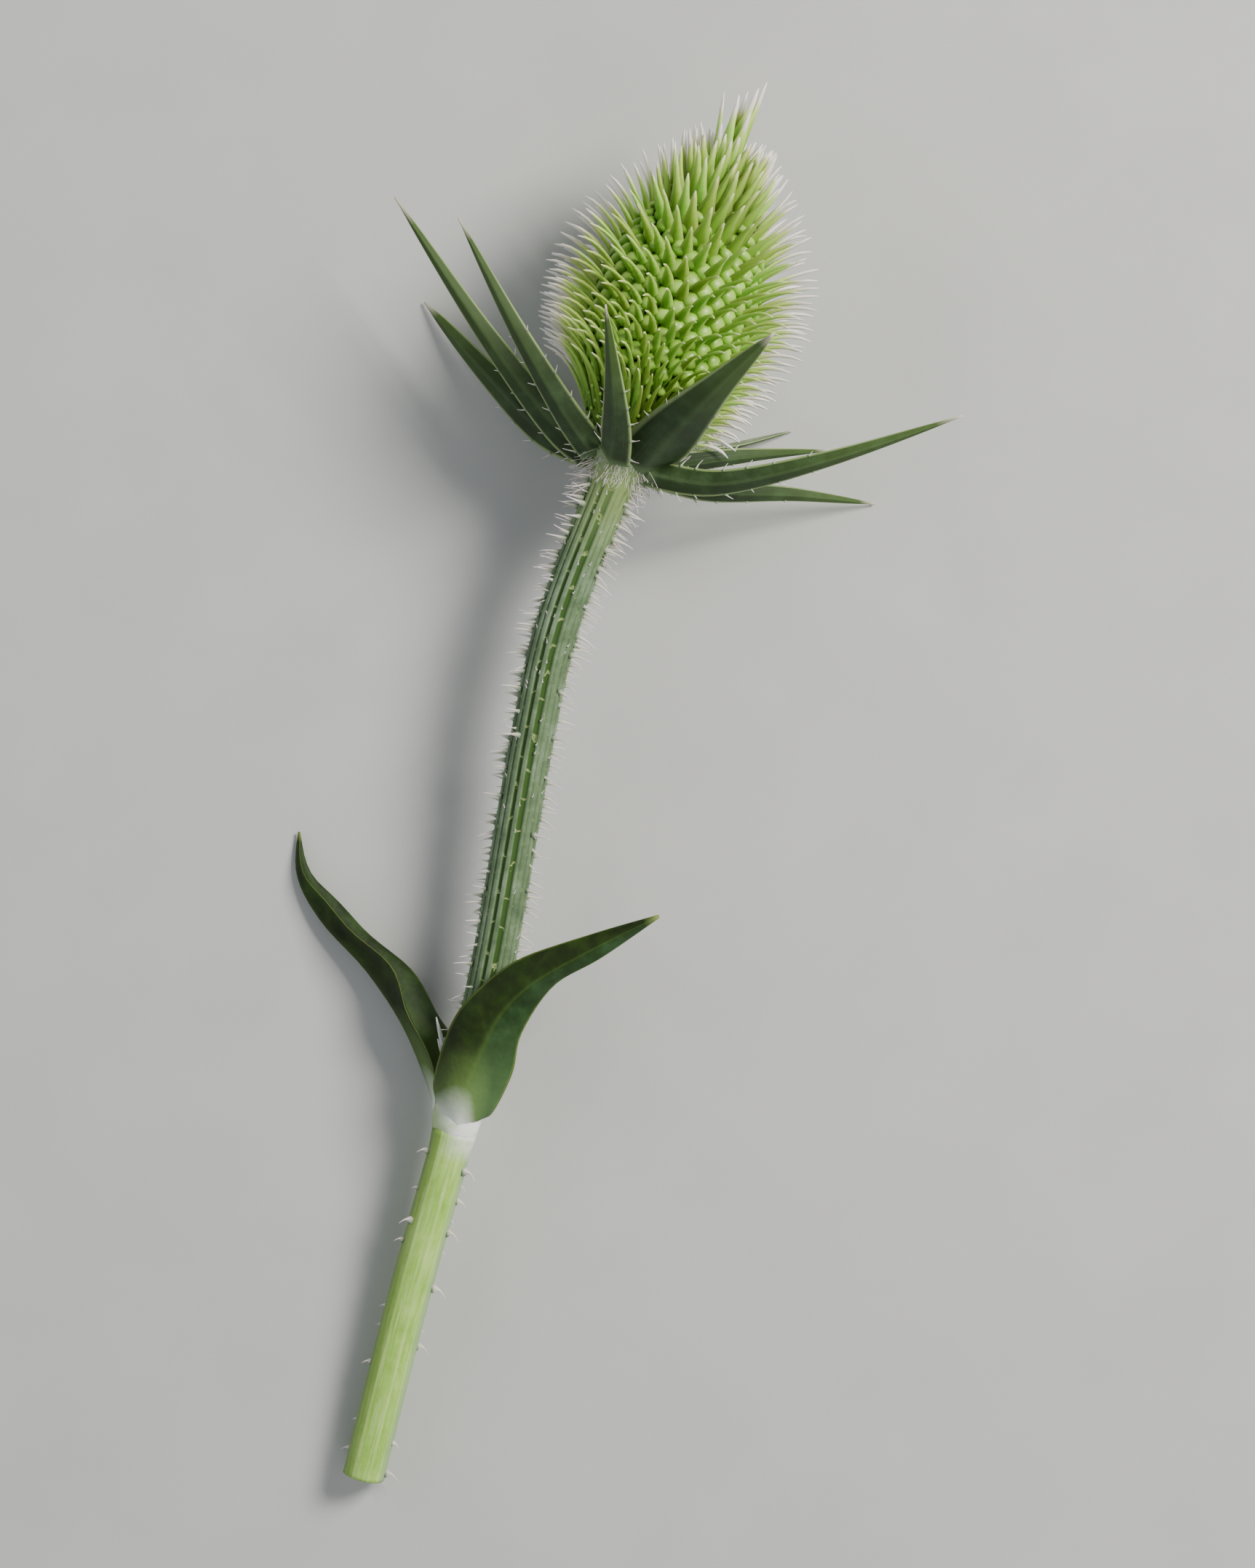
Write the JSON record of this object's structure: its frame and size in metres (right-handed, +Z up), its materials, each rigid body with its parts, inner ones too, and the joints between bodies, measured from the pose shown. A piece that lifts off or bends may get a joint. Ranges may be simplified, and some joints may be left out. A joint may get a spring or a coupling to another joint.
{
  "type": "picked teasel head",
  "caption": "Green, unopened teasel head on a cut prickly stem with its long bracts and a pair of small leaves, lying on its side.",
  "frame": {"origin": "bottom centre of the object's box, on the surface that the head lies on", "axes": "+Z up from the surface, +Y from the cut end of the stem towards the head, +X to the right seen from above"},
  "size_m": [0.0876, 0.1835, 0.0415],
  "materials": {
    "receptacle": "fresh green plant tissue, hidden under the bracts",
    "floral_bract": "fresh yellow-green plant tissue, satin, with pale awns",
    "involucral_bract": "grey-green leaf tissue with a waxy bloom and a pale rim",
    "peduncle": "ribbed grey-green stem with white prickles",
    "node_collar": "smooth white swollen joint",
    "leaf": "dark green leaf, satin, with a pale midrib",
    "lower_stem": "smooth yellow-green stem with fine ribs and sparse white prickles"
  },
  "bodies": {
    "root": {"receptacle": "receptacle", "floral_ring_01": "floral_bract", "floral_ring_02": "floral_bract", "floral_ring_03": "floral_bract", "floral_ring_04": "floral_bract", "floral_ring_05": "floral_bract", "floral_ring_06": "floral_bract", "floral_ring_07": "floral_bract", "floral_ring_08": "floral_bract", "floral_ring_09": "floral_bract", "floral_ring_10": "floral_bract", "crest_bracts": "floral_bract", "involucre_base": "peduncle", "involucral_bract_front_short": "involucral_bract", "involucral_bract_front_broad": "involucral_bract", "involucral_bract_right_long": "involucral_bract", "involucral_bract_right_lower": "involucral_bract", "involucral_bract_right_upper": "involucral_bract", "involucral_bract_right_back": "involucral_bract", "involucral_bract_back_right": "involucral_bract", "involucral_bract_back_left": "involucral_bract", "involucral_bract_left_lower": "involucral_bract", "involucral_bract_left_long": "involucral_bract", "involucral_bract_left_upper": "involucral_bract", "peduncle": "peduncle", "leaf_node_collar": "node_collar", "leaf_right": "leaf", "leaf_left": "leaf", "axillary_bud": "node_collar", "lower_stem": "lower_stem"}
  },
  "joints": []
}
